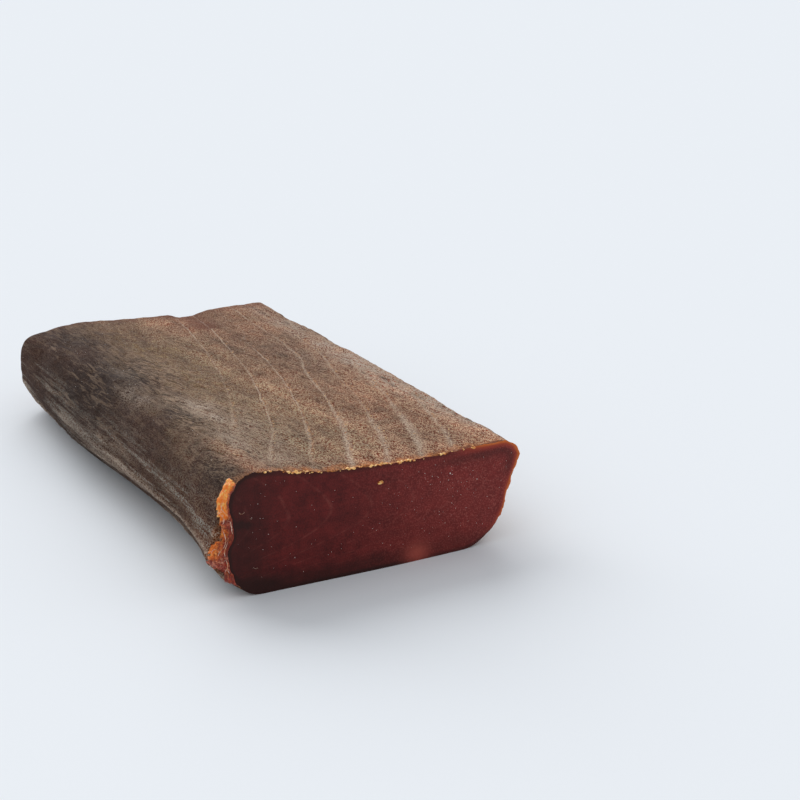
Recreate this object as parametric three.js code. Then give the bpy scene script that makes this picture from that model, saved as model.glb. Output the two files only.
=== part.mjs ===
import * as THREE from 'three';
import { mergeVertices } from 'three/addons/utils/BufferGeometryUtils.js';

// Salt-cured tuna loin: one dried block of fish, cut square across at the front.
// X runs across the loin, Y along it away from the cut face, Z up. Millimetres.

// ---- the block ----
const LENGTH = 207.5; // cut face to the furthest point of the tail end
const TAIL_ROUND = 2.6; // radius worn round the rim of the tail end
const NOMINAL_HEIGHT = { cut: 35, tail: 29 }; // section height before the top is shaped

// ---- cross-sections at four even stations, from the cut face to the tail ----
const LEFT_X = [-12.2, -11.6, -12.2, -7.6]; // outermost line of the left flank
const RIGHT_X = [95.7, 98.2, 100.1, 101.2]; // right edge of the top
const TOP_HEIGHT = [36.4, 34.0, 31.9, 29.9]; // height of the top over x = 0
const TOP_FALL = [0.02, 0.022, 0.022, 0.02]; // fall of the top per millimetre of x
const ROUND_TOP_LEFT = [7, 11, 12, 5];
const ROUND_TOP_RIGHT = [7, 5, 4, 3];
const ROUND_FOOT_RIGHT = [17, 16, 14, 12];
const ROUND_FOOT_LEFT = [14, 23, 22.5, 19.5];

// ---- long swells of the top ----
const CREST = { rise: [3.7, 3, 2.4, 2], x: [1, 5, 10, 17], reach: [15.5, 17, 18, 17] };
const DISH = { depth: [1, 0.6, 0.3, 0], x: 57, reach: 19 };

// ---- left flank: leans in towards the shoulder, swells and hollows near the floor ----
const LEAN_LEFT = { shift: [3.4, 7, 8, 1.5], from: 0.4, span: 0.65, fade: 3 };
const HOLLOW = { depth: 2.6, y: 42, reach: 26 }; // pinched in behind the cut
const SWELL = { depth: -1.6, y: 132, reach: 24 }; // fuller two thirds of the way back
const FLANK_BAND = { height: 0.1, reach: 0.43, fade: 4 }; // where both act, as height shares

// ---- right flank: undercut towards the floor ----
const UNDERCUT = { shift: [7.5, 6, 5, 4], from: 0.85, power: 0.8, fade: 2 };
const NICK = { depth: 1.2, height: 0.5, reach: 0.15, fade: 8 };

// ---- torn rim down the left of the cut face ----
const TORN = { depth: 1.3, extra: 5.2, height: 15, reach: 9, run: 3.6, fade: 6 };
const RAGS = { share: 0.16, waves: [0.62, 1.05], phases: [0.6, 2.1] };
const LOBE = { depth: 3.4, height: 13, reach: 4.8, run: 8, fade: 6 };

// ---- cut face and tail end ----
const FOOT_BOW = { depth: 1.3, x: 50, reach: 38, run: 20 }; // foot of the cut stands forward
const TAIL_SWEEP = { depth: 8.5, x: -6, span: 48, power: 1.5 }; // left corner trimmed back
const TAIL_NOTCH = { depth: 5.4, x: 57.5, rise: 3, end: 81, fall: 20 };
const TAIL_SHELF = { depth: 1.4, x: 44, rise: 12 };
const CHIP_FADE = { from: 0.35, span: 0.6 }; // the notch is a chip out of the upper rim
const TAIL_BLEND = { from: 0.75, span: 0.25 }; // share of the length the trim fades over

// ---- grid of the solid ----
const ACROSS = 30;
const ALONG = 42;
const UP = 12;
const TAIL_ROWS = 3; // rows that turn round the rim of the tail end
const CROWD_LEFT = 0.6; // spacing at the left edge, as a share of even spacing
const CROWD_CUT = 0.22; // spacing at the cut face, as a share of even spacing
const WELD = 1e-4;

const { clamp, lerp } = THREE.MathUtils;

/** Smooth step of t from 0 to 1. */
function ease(t) {
  return THREE.MathUtils.smoothstep(t, 0, 1);
}

/** Bell of height 1 around t = 0. */
function bell(t) {
  return Math.exp(-t * t);
}

/** Even grid share s moved so that the spacing at s = 0 is `first` of even spacing. */
function crowd(s, first) {
  return s * (first + (1 - first) * s);
}

/** Value at share t of the length, on a smooth curve through the station values. */
function along(values, t) {
  const last = values.length - 1;
  const place = clamp(t, 0, 1) * last;
  const i = Math.min(Math.floor(place), last - 1);
  const f = place - i;
  const p1 = values[i];
  const p2 = values[i + 1];
  const p0 = i > 0 ? values[i - 1] : 2 * p1 - p2;
  const p3 = i + 2 > last ? 2 * p2 - p1 : values[i + 2];
  const cubic = 3 * (p1 - p2) + p3 - p0;
  const square = 2 * p0 - 5 * p1 + 4 * p2 - p3;
  return p1 + (f / 2) * (p2 - p0 + f * (square + f * cubic));
}

/** Height of the top over x: a sloping plane with a crest on the left and a shallow dish. */
function topHeight(x, t) {
  const plane = along(TOP_HEIGHT, t) - along(TOP_FALL, t) * x;
  const crest = along(CREST.rise, t) * bell((x - along(CREST.x, t)) / along(CREST.reach, t));
  const dish = along(DISH.depth, t) * bell((x - DISH.x) / DISH.reach);
  return plane + crest - dish;
}

/** How far the tail end stands short of the full length at x and height share s. */
function tailTrim(x, s) {
  const left = clamp(1 - (x - TAIL_SWEEP.x) / TAIL_SWEEP.span, 0, 1);
  const sweep = TAIL_SWEEP.depth * left ** TAIL_SWEEP.power;
  const step = TAIL_NOTCH.depth * ease((x - TAIL_NOTCH.x) / TAIL_NOTCH.rise);
  const shelf = TAIL_SHELF.depth * ease((x - TAIL_SHELF.x) / TAIL_SHELF.rise);
  const notch = (step + shelf) * ease((TAIL_NOTCH.end - x) / TAIL_NOTCH.fall);
  return sweep + notch * ease((s - CHIP_FADE.from) / CHIP_FADE.span);
}

/** Point of a plain width x height section, its squares at the corners turned to arcs. */
function roundedSection(point, width, height, t) {
  const corners = [
    { right: false, up: true, radius: along(ROUND_TOP_LEFT, t) },
    { right: true, up: true, radius: along(ROUND_TOP_RIGHT, t) },
    { right: true, up: false, radius: along(ROUND_FOOT_RIGHT, t) },
    { right: false, up: false, radius: along(ROUND_FOOT_LEFT, t) },
  ];
  for (const { right, up, radius } of corners) {
    const centre = new THREE.Vector2(right ? width - radius : radius, up ? height - radius : radius);
    const arm = point.clone().sub(centre);
    const inCorner = (right ? arm.x > 0 : arm.x < 0) && (up ? arm.y > 0 : arm.y < 0);
    if (inCorner) {
      const reach = Math.max(Math.abs(arm.x), Math.abs(arm.y));
      point.copy(arm.setLength(reach).add(centre));
    }
  }
  return point;
}

/** Sideways shift of the left flank at height share s and distance y from the cut. */
function leftShift(s, side, y, t) {
  const near = 1 - side;
  const z = s * NOMINAL_HEIGHT.cut;
  const lean = along(LEAN_LEFT.shift, t) * ease((s - LEAN_LEFT.from) / LEAN_LEFT.span);
  const band = bell((s - FLANK_BAND.height) / FLANK_BAND.reach) * near ** FLANK_BAND.fade;
  const hollow = HOLLOW.depth * bell((y - HOLLOW.y) / HOLLOW.reach);
  const swell = SWELL.depth * bell((y - SWELL.y) / SWELL.reach);
  const rags = RAGS.waves.reduce((sum, wave, i) => sum + Math.sin(wave * z + RAGS.phases[i]), 0);
  const bite = TORN.depth + TORN.extra * bell((z - TORN.height) / TORN.reach);
  const torn = bite * (1 + RAGS.share * rags) * clamp(1 - y / TORN.run, 0, 1);
  const lobe = LOBE.depth * bell((z - LOBE.height) / LOBE.reach) * bell(y / LOBE.run);
  return (
    lean * near ** LEAN_LEFT.fade +
    (hollow + swell) * band +
    torn * near ** TORN.fade -
    lobe * near ** LOBE.fade
  );
}

/** Sideways shift of the right flank at height share s: in under the edge, with a nick. */
function rightShift(s, side, t) {
  const low = clamp(1 - s / UNDERCUT.from, 0, 1) ** UNDERCUT.power;
  const nick = NICK.depth * bell((s - NICK.height) / NICK.reach) * side ** NICK.fade * (1 - t);
  return -along(UNDERCUT.shift, t) * low * side ** UNDERCUT.fade - nick;
}

/** Point of the loin's skin from the shares across, along and up of a unit box. */
function loinPoint(across, lengthwise, up) {
  const bend = 1 - TAIL_ROWS / ALONG;
  const turn = clamp((lengthwise - bend) / (1 - bend), 0, 1) * (Math.PI / 2);
  const straight = (LENGTH - TAIL_ROUND) * crowd(Math.min(lengthwise / bend, 1), CROWD_CUT);
  const y = straight + TAIL_ROUND * Math.sin(turn);
  const inset = TAIL_ROUND * (1 - Math.cos(turn));
  const t = y / LENGTH;

  const width = along(RIGHT_X, t) - along(LEFT_X, t);
  const height = lerp(NOMINAL_HEIGHT.cut, NOMINAL_HEIGHT.tail, t);
  const flat = new THREE.Vector2(crowd(across, CROWD_LEFT) * width, up * height);
  const centre = new THREE.Vector2(width / 2, height / 2);
  const shrink = new THREE.Vector2(1 - inset / centre.x, 1 - inset / centre.y);
  const point = roundedSection(flat, width, height, t).sub(centre).multiply(shrink).add(centre);

  const side = point.x / width;
  const s = point.y / height;
  const x = along(LEFT_X, t) + point.x + leftShift(s, side, y, t) + rightShift(s, side, t);
  const z = s * topHeight(x, t);
  const trim = tailTrim(x, s) * ease((t - TAIL_BLEND.from) / TAIL_BLEND.span);
  const fade = clamp(1 - y / FOOT_BOW.run, 0, 1) ** 2;
  const bow = FOOT_BOW.depth * bell((x - FOOT_BOW.x) / FOOT_BOW.reach) * (1 - s) * fade;
  return new THREE.Vector3(x, y - trim - bow, z);
}

/** The loin as one closed skin, standing on z = 0 and centred over the origin. */
function loinGeometry() {
  const box = new THREE.BoxGeometry(1, 1, 1, ACROSS, ALONG, UP);
  box.deleteAttribute('normal');
  box.deleteAttribute('uv');
  const skin = mergeVertices(box, WELD);
  const position = skin.getAttribute('position');
  const share = new THREE.Vector3();
  for (let i = 0; i < position.count; i += 1) {
    share.fromBufferAttribute(position, i).addScalar(1 / 2);
    const point = loinPoint(share.x, share.y, share.z);
    position.setXYZ(i, point.x, point.y, point.z);
  }
  skin.computeBoundingBox();
  const middle = skin.boundingBox.getCenter(new THREE.Vector3());
  skin.translate(-middle.x, -middle.y, -skin.boundingBox.min.z);
  skin.computeVertexNormals();
  return skin;
}

const curedFlesh = new THREE.MeshStandardMaterial({
  name: 'cured_flesh',
  color: '#6b4a3c',
  roughness: 0.7,
});

const loin = new THREE.Mesh(loinGeometry(), curedFlesh);
loin.name = 'loin';

const group = new THREE.Group();
group.name = 'salt_cured_tuna_loin';
group.add(loin);

export default group;
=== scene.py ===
# %% [markdown]
# # A block of salt-cured tuna loin
#
# The real thing is the back muscle of a tuna, buried in salt and then hung in dry air until it is
# as firm as hard cheese. Outside it has dried to a matt, grey-brown, finely grained skin, crossed
# by the pale lines of the muscle layers. The one straight cut shows what is inside: dense, dark
# red, slightly waxy flesh. Down one side of the cut the skin has torn rather than sliced, and the
# torn flesh glows amber.
#
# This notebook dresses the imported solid, node `loin`. It rebuilds the same form at a fine pitch,
# adds the relief that the eye looks for, and gives the skin, the cut and the tear a finish each.

# %% The frame
import math
from functools import partial

import bpy
import numpy as np
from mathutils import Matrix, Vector


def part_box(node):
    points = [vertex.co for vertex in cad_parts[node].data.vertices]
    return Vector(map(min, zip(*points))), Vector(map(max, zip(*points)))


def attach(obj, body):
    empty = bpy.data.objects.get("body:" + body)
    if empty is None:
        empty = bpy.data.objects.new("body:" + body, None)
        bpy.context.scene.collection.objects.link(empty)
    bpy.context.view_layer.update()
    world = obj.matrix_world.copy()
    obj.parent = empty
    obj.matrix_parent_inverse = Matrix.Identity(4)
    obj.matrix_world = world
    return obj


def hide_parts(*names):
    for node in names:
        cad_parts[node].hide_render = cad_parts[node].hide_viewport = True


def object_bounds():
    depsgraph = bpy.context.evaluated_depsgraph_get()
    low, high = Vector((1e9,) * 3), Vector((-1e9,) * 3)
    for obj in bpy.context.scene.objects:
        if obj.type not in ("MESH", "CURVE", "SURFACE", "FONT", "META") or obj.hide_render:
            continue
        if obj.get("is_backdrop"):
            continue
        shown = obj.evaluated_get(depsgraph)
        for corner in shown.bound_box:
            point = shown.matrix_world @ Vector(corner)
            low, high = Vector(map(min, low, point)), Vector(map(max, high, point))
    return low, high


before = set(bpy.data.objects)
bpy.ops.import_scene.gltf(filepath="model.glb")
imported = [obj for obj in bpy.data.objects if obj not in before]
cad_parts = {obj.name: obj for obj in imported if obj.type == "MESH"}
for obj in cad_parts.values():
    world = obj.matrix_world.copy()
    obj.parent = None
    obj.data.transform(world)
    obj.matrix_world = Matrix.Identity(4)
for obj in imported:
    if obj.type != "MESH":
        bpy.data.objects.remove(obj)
CAD_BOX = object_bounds()
MM = 0.001

# %% [markdown]
# ## The form
#
# One could sculpt the block, or scan it. Here it is worked out: a point of the skin is a function
# of three shares of a unit box, across, along and up. The section is a rectangle with four rounded
# edges whose sizes pass smoothly through four stations between the cut and the tail. Shifts then
# lean the left flank, undercut the right one, and tear the rim by the cut. These are the same
# steps and the same sizes as the solid's, so the fine skin lies on the solid without fitting.

# %% Driving sizes, in millimetres
LENGTH = 207.5
TAIL_ROUND = 2.6
NOMINAL_HEIGHT = {"cut": 35.0, "tail": 29.0}
STATIONS = {
    "left_x": (-12.2, -11.6, -12.2, -7.6),
    "right_x": (95.7, 98.2, 100.1, 101.2),
    "top_height": (36.4, 34.0, 31.9, 29.9),
    "top_fall": (0.02, 0.022, 0.022, 0.02),
    "round_top_left": (7, 11, 12, 5),
    "round_top_right": (7, 5, 4, 3),
    "round_foot_right": (17, 16, 14, 12),
    "round_foot_left": (14, 23, 22.5, 19.5),
    "crest_rise": (3.7, 3, 2.4, 2),
    "crest_x": (1, 5, 10, 17),
    "crest_reach": (15.5, 17, 18, 17),
    "dish_depth": (1, 0.6, 0.3, 0),
    "lean_left": (3.4, 7, 8, 1.5),
    "undercut": (7.5, 6, 5, 4),
}
SOLID_GRID = (30, 42, 12)
TAIL_SHARE = 3 / 42  # share of the rows that turn round the rim of the tail end
CROWD_LEFT = 0.6  # first spacing at the left edge, as a share of even spacing
CROWD_CUT = 0.22  # first spacing at the cut face, as a share of even spacing


def ease(t):
    """Smooth step: 3t^2 - 2t^3, with t held between 0 and 1."""
    t = np.clip(t, 0.0, 1.0)
    return t * t * (3.0 - 2.0 * t)


def bell(t):
    """Bell of height 1 around t = 0: e to the power of minus t squared."""
    return np.exp(-t * t)


def crowd(s, first):
    """Parabola from 0 to 1 whose slope at 0 is `first`, so that grid lines crowd towards 0."""
    return s * (first + (1.0 - first) * s)


def along(name, t):
    """Value of a station size at share t of the length: a cubic through the four stations."""
    values = np.array(STATIONS[name], float)
    padded = np.concatenate([[2 * values[0] - values[1]], values, [2 * values[-1] - values[-2]]])
    place = np.clip(t, 0.0, 1.0) * (len(values) - 1)
    i = np.minimum(place.astype(int), len(values) - 2)
    f = place - i
    p0, p1, p2, p3 = (padded[i + k] for k in range(4))
    cubic = 3 * (p1 - p2) + p3 - p0
    square = 2 * p0 - 5 * p1 + 4 * p2 - p3
    return p1 + f / 2 * (p2 - p0 + f * (square + f * cubic))


def top_height(x, t):
    """A plane that falls to the right, plus a bell for the crest, minus a bell for the dish."""
    plane = along("top_height", t) - along("top_fall", t) * x
    crest = along("crest_rise", t) * bell((x - along("crest_x", t)) / along("crest_reach", t))
    dish = along("dish_depth", t) * bell((x - 57) / 19)
    return plane + crest - dish


def tail_trim(x, s):
    """How far the tail end stands short at x: a swept left corner and a chip in the upper rim."""
    sweep = 8.5 * np.clip(1 - (x + 6) / 48, 0, 1) ** 1.5
    chip = 5.4 * ease((x - 57.5) / 3) + 1.4 * ease((x - 44) / 12)
    return sweep + chip * ease((81 - x) / 20) * ease((s - 0.35) / 0.6)


def rounded_section(a, b, width, height, t):
    """Rectangle with its corner squares turned to arcs: each square ring becomes a round one."""
    corners = (
        (0, 1, "round_top_left"),
        (1, 1, "round_top_right"),
        (1, 0, "round_foot_right"),
        (0, 0, "round_foot_left"),
    )
    for right, up, name in corners:
        radius = along(name, t)
        centre_a = width - radius if right else radius
        centre_b = height - radius if up else radius
        arm_a, arm_b = a - centre_a, b - centre_b
        outside_a = arm_a > 0 if right else arm_a < 0
        outside_b = arm_b > 0 if up else arm_b < 0
        square = np.maximum(abs(arm_a), abs(arm_b))
        stretch = square / np.maximum(np.hypot(arm_a, arm_b), 1e-9)
        corner = outside_a & outside_b
        a = np.where(corner, centre_a + arm_a * stretch, a)
        b = np.where(corner, centre_b + arm_b * stretch, b)
    return a, b


def left_shift(s, near, y, t):
    """Left flank: a lean inwards, a hollow and a swell, the torn bite and the lobe left by it."""
    z = s * NOMINAL_HEIGHT["cut"]
    lean = along("lean_left", t) * ease((s - 0.4) / 0.65) * near**3
    band = bell((s - 0.1) / 0.43) * near**4
    swells = 2.6 * bell((y - 42) / 26) - 1.6 * bell((y - 132) / 24)
    rags = 1 + 0.04 * (np.sin(0.62 * z + 0.6) + np.sin(1.05 * z + 2.1))
    torn = (1.3 + 5.2 * bell((z - 15) / 9)) * rags * np.clip(1 - y / 3.6, 0, 1)
    lobe = 3.4 * bell((z - 13) / 4.8) * bell(y / 8)
    return lean + swells * band + (torn - lobe) * near**6


def right_shift(s, side, t):
    """Right flank: drawn in under its edge, with a shallow nick that fades towards the tail."""
    low = np.clip(1 - s / 0.85, 0, 1) ** 0.8
    nick = 1.2 * bell((s - 0.5) / 0.15) * side**8 * (1 - t)
    return -along("undercut", t) * low * side**2 - nick


def loin_point(across, lengthwise, up):
    """Unit box to loin: rounded section, tail rim, flanks, shaped top, trimmed tail, bowed foot."""
    bend = 1 - TAIL_SHARE
    turn = np.clip((lengthwise - bend) / TAIL_SHARE, 0, 1) * math.pi / 2
    straight = (LENGTH - TAIL_ROUND) * crowd(np.minimum(lengthwise / bend, 1), CROWD_CUT)
    y = straight + TAIL_ROUND * np.sin(turn)
    inset = TAIL_ROUND * (1 - np.cos(turn))
    t = y / LENGTH

    left = along("left_x", t)
    width = along("right_x", t) - left
    height = NOMINAL_HEIGHT["cut"] + (NOMINAL_HEIGHT["tail"] - NOMINAL_HEIGHT["cut"]) * t
    a, b = rounded_section(crowd(across, CROWD_LEFT) * width, up * height, width, height, t)
    a = width / 2 + (a - width / 2) * (1 - inset / (width / 2))
    b = height / 2 + (b - height / 2) * (1 - inset / (height / 2))

    side = a / width
    s = b / height
    x = left + a + left_shift(s, 1 - side, y, t) + right_shift(s, side, t)
    z = s * top_height(x, t)
    trim = tail_trim(x, s) * ease((t - 0.75) / 0.25)
    bow = 1.3 * bell((x - 50) / 38) * (1 - s) * np.clip(1 - y / 20, 0, 1) ** 2
    return np.stack([x, y - trim - bow, z], axis=-1)


# %% [markdown]
# ## A closed skin
#
# The six sides of a box, as grids, share their edges. Numbering the points by their place in the
# whole lattice and keeping each number once welds the sides exactly, with no search for doubles.

# %% Box skin
SIDES = ("left", "right", "cut", "tail", "foot", "top")


def box_skin(counts):
    """Shares of a box's surface lattice, its outward quads, and the side that each quad is on."""
    counts = np.array(counts)
    stride = np.array([(counts[1] + 1) * (counts[2] + 1), counts[2] + 1, 1])
    quads, side_of = [], []
    for axis in range(3):
        p, q = (axis + 1) % 3, (axis + 2) % 3
        i, j = np.meshgrid(np.arange(counts[p]), np.arange(counts[q]), indexing="ij")
        base = i * stride[p] + j * stride[q]
        ring = np.stack([base, base + stride[p], base + stride[p] + stride[q], base + stride[q]], -1)
        ring = ring.reshape(-1, 4)
        for far in (0, 1):
            loop = ring + far * counts[axis] * stride[axis]
            quads.append(loop if far else loop[:, ::-1])
            side_of.append(np.full(len(loop), 2 * axis + far))
    numbers, packed = np.unique(np.concatenate(quads), return_inverse=True)
    i, rest = np.divmod(numbers, stride[0])
    j, k = np.divmod(rest, stride[1])
    shares = np.stack([i, j, k], -1) / counts
    return shares, packed.reshape(-1, 4), np.concatenate(side_of)


solid_shares, _, _ = box_skin(SOLID_GRID)
solid_points = loin_point(*solid_shares.T)
MIDDLE = (solid_points.min(axis=0) + solid_points.max(axis=0)) / 2
MIDDLE[2] = solid_points[:, 2].min()
cad_low, cad_high = (np.array(corner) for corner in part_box("loin"))
worked_out = (solid_points.max(axis=0) - MIDDLE) * MM
print("this form against the solid's high corner, mm:", (worked_out - cad_high) / MM)

# %% [markdown]
# ## What the eye reads on the top: the muscle layers
#
# A tuna's muscle is a stack of leaves, and each leaf ends at a pale sheet. On the top these sheets
# show as slanting, slightly bent lines about 12 mm apart that draw together towards the cut. They
# could be drawn one by one. Here one number, the layer, grows by one from each line to the next,
# so that relief, colour and oil all find the same lines from it.

# %% Layer number
LAYER_STEP = 12.4  # mm across from one pale sheet to the next
FIRST_LINE = 10.8


def layer_on_top(x, y):
    """Count of sheets passed by (x, y): a cubic in x/100 and y/200, fitted to lines read one by one."""
    a, b = x / 100, y / 200
    straight = -0.322 + 6.249 * a - 6.944 * b
    bent = -0.955 * a * b + 0.44 * b**2 + 1.768 * a**2
    twisted = 3.929 * a * b**2 + 1.073 * a**2 * b - 0.572 * b**3
    return straight + bent + twisted


def layer_on_cut(x, z):
    """The same count on the cut: sheets bulge to the right, as parabolas with their tip at mid height."""
    tip = 24 - 3 * ease(x / 80)
    above, below = np.clip(z - tip, 0, None), np.clip(tip - z, 0, None)
    bulge = 2 + 9 * ease(x / 75) - (0.05 + 0.07 * ease(x / 75)) * above**2 - 0.14 * below**2
    return (x + 2 - bulge - FIRST_LINE) / LAYER_STEP


def rumple(points, pitch, seed):
    """Value noise from -1 to 1: seeded random numbers on a lattice, blended by smooth steps."""
    table = np.random.default_rng(seed).uniform(-1.0, 1.0, 1 << 14)
    place = points / np.array(pitch, float)
    cell = np.floor(place).astype(np.int64)
    share = ease(place - cell)
    total = np.zeros(len(points))
    for bits in np.ndindex(2, 2, 2):
        n = cell + np.array(bits)
        slot = (n[:, 0] * 73856093 ^ n[:, 1] * 19349663 ^ n[:, 2] * 83492791) & (len(table) - 1)
        total += table[slot] * np.prod(np.where(bits, share, 1 - share), axis=1)
    return total


def distance_to_path(x, y, path):
    """Distance from each (x, y) to the nearest point of a broken line."""
    nearest = np.full(len(x), np.inf)
    for (x0, y0), (x1, y1) in zip(path, path[1:]):
        run, rise = x1 - x0, y1 - y0
        share = np.clip(((x - x0) * run + (y - y0) * rise) / (run**2 + rise**2), 0, 1)
        nearest = np.minimum(nearest, np.hypot(x - x0 - share * run, y - y0 - share * rise))
    return nearest


# %% [markdown]
# ## The fine skin
#
# The solid has rows up to seven millimetres long; the skin needs relief of about one. The same
# form is read off a lattice of 130 by 230 by 46, spaced finer near the cut, where the eye is. The
# lattice is counted so that the whole piece keeps under 200,000 triangles.

# %% Fine lattice
FINE_GRID = (130, 230, 46)
FINE_TAIL_ROWS = 8
FINE_CROWD = 0.5


def fine_lengthwise(v):
    """Row spacing: a mild parabola to the tail rim, undoing the solid's own, then even rows round it."""
    bend = 1 - FINE_TAIL_ROWS / FINE_GRID[1]
    run = crowd(np.minimum(v / bend, 1), FINE_CROWD)
    undo = (-CROWD_CUT + np.sqrt(CROWD_CUT**2 + 4 * (1 - CROWD_CUT) * run)) / (2 * (1 - CROWD_CUT))
    round_rim = np.clip((v - bend) / (1 - bend), 0, 1)
    return undo * (1 - TAIL_SHARE) + TAIL_SHARE * round_rim


def outward(points, quads):
    """Unit normal at each point: cross the diagonals of its quads, add them up, make length one."""
    a, b, c, d = points[quads.T]
    face = np.cross(c - a, d - b)
    flat = quads.ravel()
    total = [np.bincount(flat, np.repeat(face[:, k], 4), len(points)) for k in range(3)]
    total = np.stack(total, -1)
    return total / np.maximum(np.linalg.norm(total, axis=1, keepdims=True), 1e-12)


shares, quads, side_of = box_skin(FINE_GRID)
across, lengthwise, up = shares.T
plain = loin_point(across, fine_lengthwise(lengthwise), up)
x, y, z = plain.T
CUT = SIDES.index("cut")
on_cut = lengthwise == 0
inside_cut = on_cut & (across > 0) & (across < 1) & (up > 0) & (up < 1)
skin_normal = outward(plain, quads[side_of != CUT])
print("fine skin:", len(plain), "points,", 2 * len(quads), "triangles")

# %% [markdown]
# ## Where things are
#
# Relief and colour have to agree: a crease is a groove and it is dark, a torn patch is both rough
# and amber. So each feature is first a mask, a number from 0 to 1 at every point. The masks are
# made once, shape the relief, and are stored on the mesh for the materials to read.

# %% Tables of the larger features
CREASES = (
    ((15, 152), (12.8, 138), (11.5, 125), (9.8, 110), (9.2, 98), (12, 88)),
    ((-2.5, 33), (-0.6, 27), (4.3, 18)),
    ((8.2, 28), (8.8, 21)),
    ((90, 62), (92, 48), (91, 34), (93, 22)),
    ((88, 96), (91, 84), (90, 74)),
)
BLOOM_AND_SHEEN_PATCHES = (  # centre x and y, reach across and along, strength
    (6.5, 120, 2.2, 16, 0.25),
    (2.0, 99, 3, 12, 0.6),
    (16, 78, 6, 10, 0.65),
    (15, 60, 4, 12, 0.5),
    (10, 34, 4, 14, 0.5),
    (14, 14, 6, 7, 0.35),
    (22, 45, 8, 24, 0.3),
    # Painted sheen: the next three rows, a pale band along the right edge.
    (93, 30, 6, 36, 0.8),
    (93, 95, 6, 40, 1.1),
    (93, 160, 5, 40, 0.5),
    (79, 128, 5, 22, 0.15),
)
DARKEST = 0.35
# Lighter and darker spots, partly the skin's own tone and partly painted light: the strong rises at x 91 to
# 93 are a painted highlight along the right edge, and the falls on the left shoulder and flank are painted
# shade.
TONE_AND_LIGHT_SPOTS = (  # centre x and y, reach across and along, change of brightness
    (66, 8, 36, 26, 0.22),
    (84, 45, 9, 50, 0.25),
    (88, 200, 14, 12, 0.4),
    (-5, 22, 7, 36, -0.5),
    (-8, 135, 8, 70, -0.5),
    (8, 66, 5, 26, -0.2),
    (91, 12, 8, 20, 1.1),
    (93, 85, 7, 55, 1.2),
    (52, 85, 10, 60, 0.2),
    (48, 195, 8, 10, 0.3),
    (-5, 10, 3.5, 10, -0.35),
    (1, 7, 2.5, 5, 0.45),
    (80, 40, 6, 10, -0.3),
    (10, 121, 5, 9, -0.2),
    (48, 182, 5, 9, -0.15),
    (4, 23, 4, 9, 0.35),
    (30, 8, 16, 10, 0.15),
    (73, 18, 7, 12, -0.2),
    (6, 66, 6, 28, -0.4),
    (6, 128, 12, 30, -0.55),
    (72, 132, 15, 40, -0.4),
    (34, 165, 22, 30, -0.15),
    (10, 183, 11, 20, -0.5),
)
lumps = partial(rumple, plain)  # noise at the points of the plain form: its pitch and its seed


def spots(rows, start):
    """Sum of soft round spots: each one is a bell across times a bell along, times its strength."""
    parts = (rise * bell((x - cx) / rx) * bell((y - cy) / ry) for cx, cy, rx, ry, rise in rows)
    return sum(parts, start)


# %% Masks of the relief
facing_left = np.clip(-skin_normal[:, 0], 0, 1)
facing_right = np.clip(skin_normal[:, 0], 0, 1)
facing_up = np.clip(skin_normal[:, 2], 0, 1)
on_foot = ease((-skin_normal[:, 2] - 0.5) / 0.4)

layer = np.where(on_cut, layer_on_cut(x, z), layer_on_top(x, y))
wavy = lumps((14, 22, 14), 3) * 0.06 + lumps((4, 6, 4), 4) * 0.03
layer = layer + wavy - 0.4 * ease((y - 100) / 30) * ease((x - 68) / 8) * ~on_cut

crease = np.min([distance_to_path(x, y, path) for path in CREASES], axis=0)
crease = crease + 0.7 * lumps((2.5, 4, 2.5), 5) + 0.5 * lumps((9, 9, 9), 22)
crease = np.where(facing_up > 0.3, crease, 9.0)

# Salt bloom, and painted sheen along the right edge.
bloom_and_sheen = spots(BLOOM_AND_SHEEN_PATCHES, 0.0)
bloom_and_sheen *= facing_up * (1 + 0.55 * lumps((5, 9, 5), 6) + 0.35 * lumps((1.6, 2.6, 1.6), 7))
tone_and_painted_light = np.maximum(spots(TONE_AND_LIGHT_SPOTS, 1.0), DARKEST)
flank_streaks = lumps((3, 46, 2.6), 8) + 0.6 * lumps((2, 21, 1.3), 9)
low_left = facing_left * ease((26 - z) / 12)
bloom_and_sheen = np.clip(bloom_and_sheen, 0, 1) + np.clip(flank_streaks - 0.15, 0, 1) * low_left

torn_reach = 4.0 - 0.9 * bell((z - 21) / 4) + 2.0 * ease((z - 26) / 5)
torn_reach += 0.9 * lumps((1.5, 1.5, 2.2), 10)
torn = ease((-5.0 - x) / 1.5) * ease((torn_reach - y) / 1.3)
torn = np.where(inside_cut, 0, torn)
print("torn points:", int((torn > 0.5).sum()), "bloomed points:", int((bloom_and_sheen > 0.4).sum()))

# %% [markdown]
# ## Relief
#
# Each muscle leaf dries into a faint cushion between its two sheets, the left shoulder and flank
# wrinkle along the block, and the whole skin is a little lumpy. All of it is moved along the
# skin's normal, so the block keeps its size. The foot stays flat, because it lies on the table.

# %% Heights, in millimetres
BAND_SWELL = 0.28
LINE_GROOVE = 0.16
CREASE_DEPTH = 0.45
LUMP = 0.42
PEBBLE = 0.2
FLANK_FOLD = 0.75
SHOULDER_WRINKLE = 0.32
TORN_ROUGH = 0.75
TORN_LOBES = ((13, 3, 0.7), (8.6, 1.7, -1.4), (5.6, 1.2, 1), (3.2, 1.2, -1))  # height, reach, rise


def near_line(count):
    """1 on a sheet's line, 0 half way between two: the fold of the layer count, by a cosine."""
    return 0.5 + 0.5 * np.cos(2 * math.pi * count)


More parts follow.
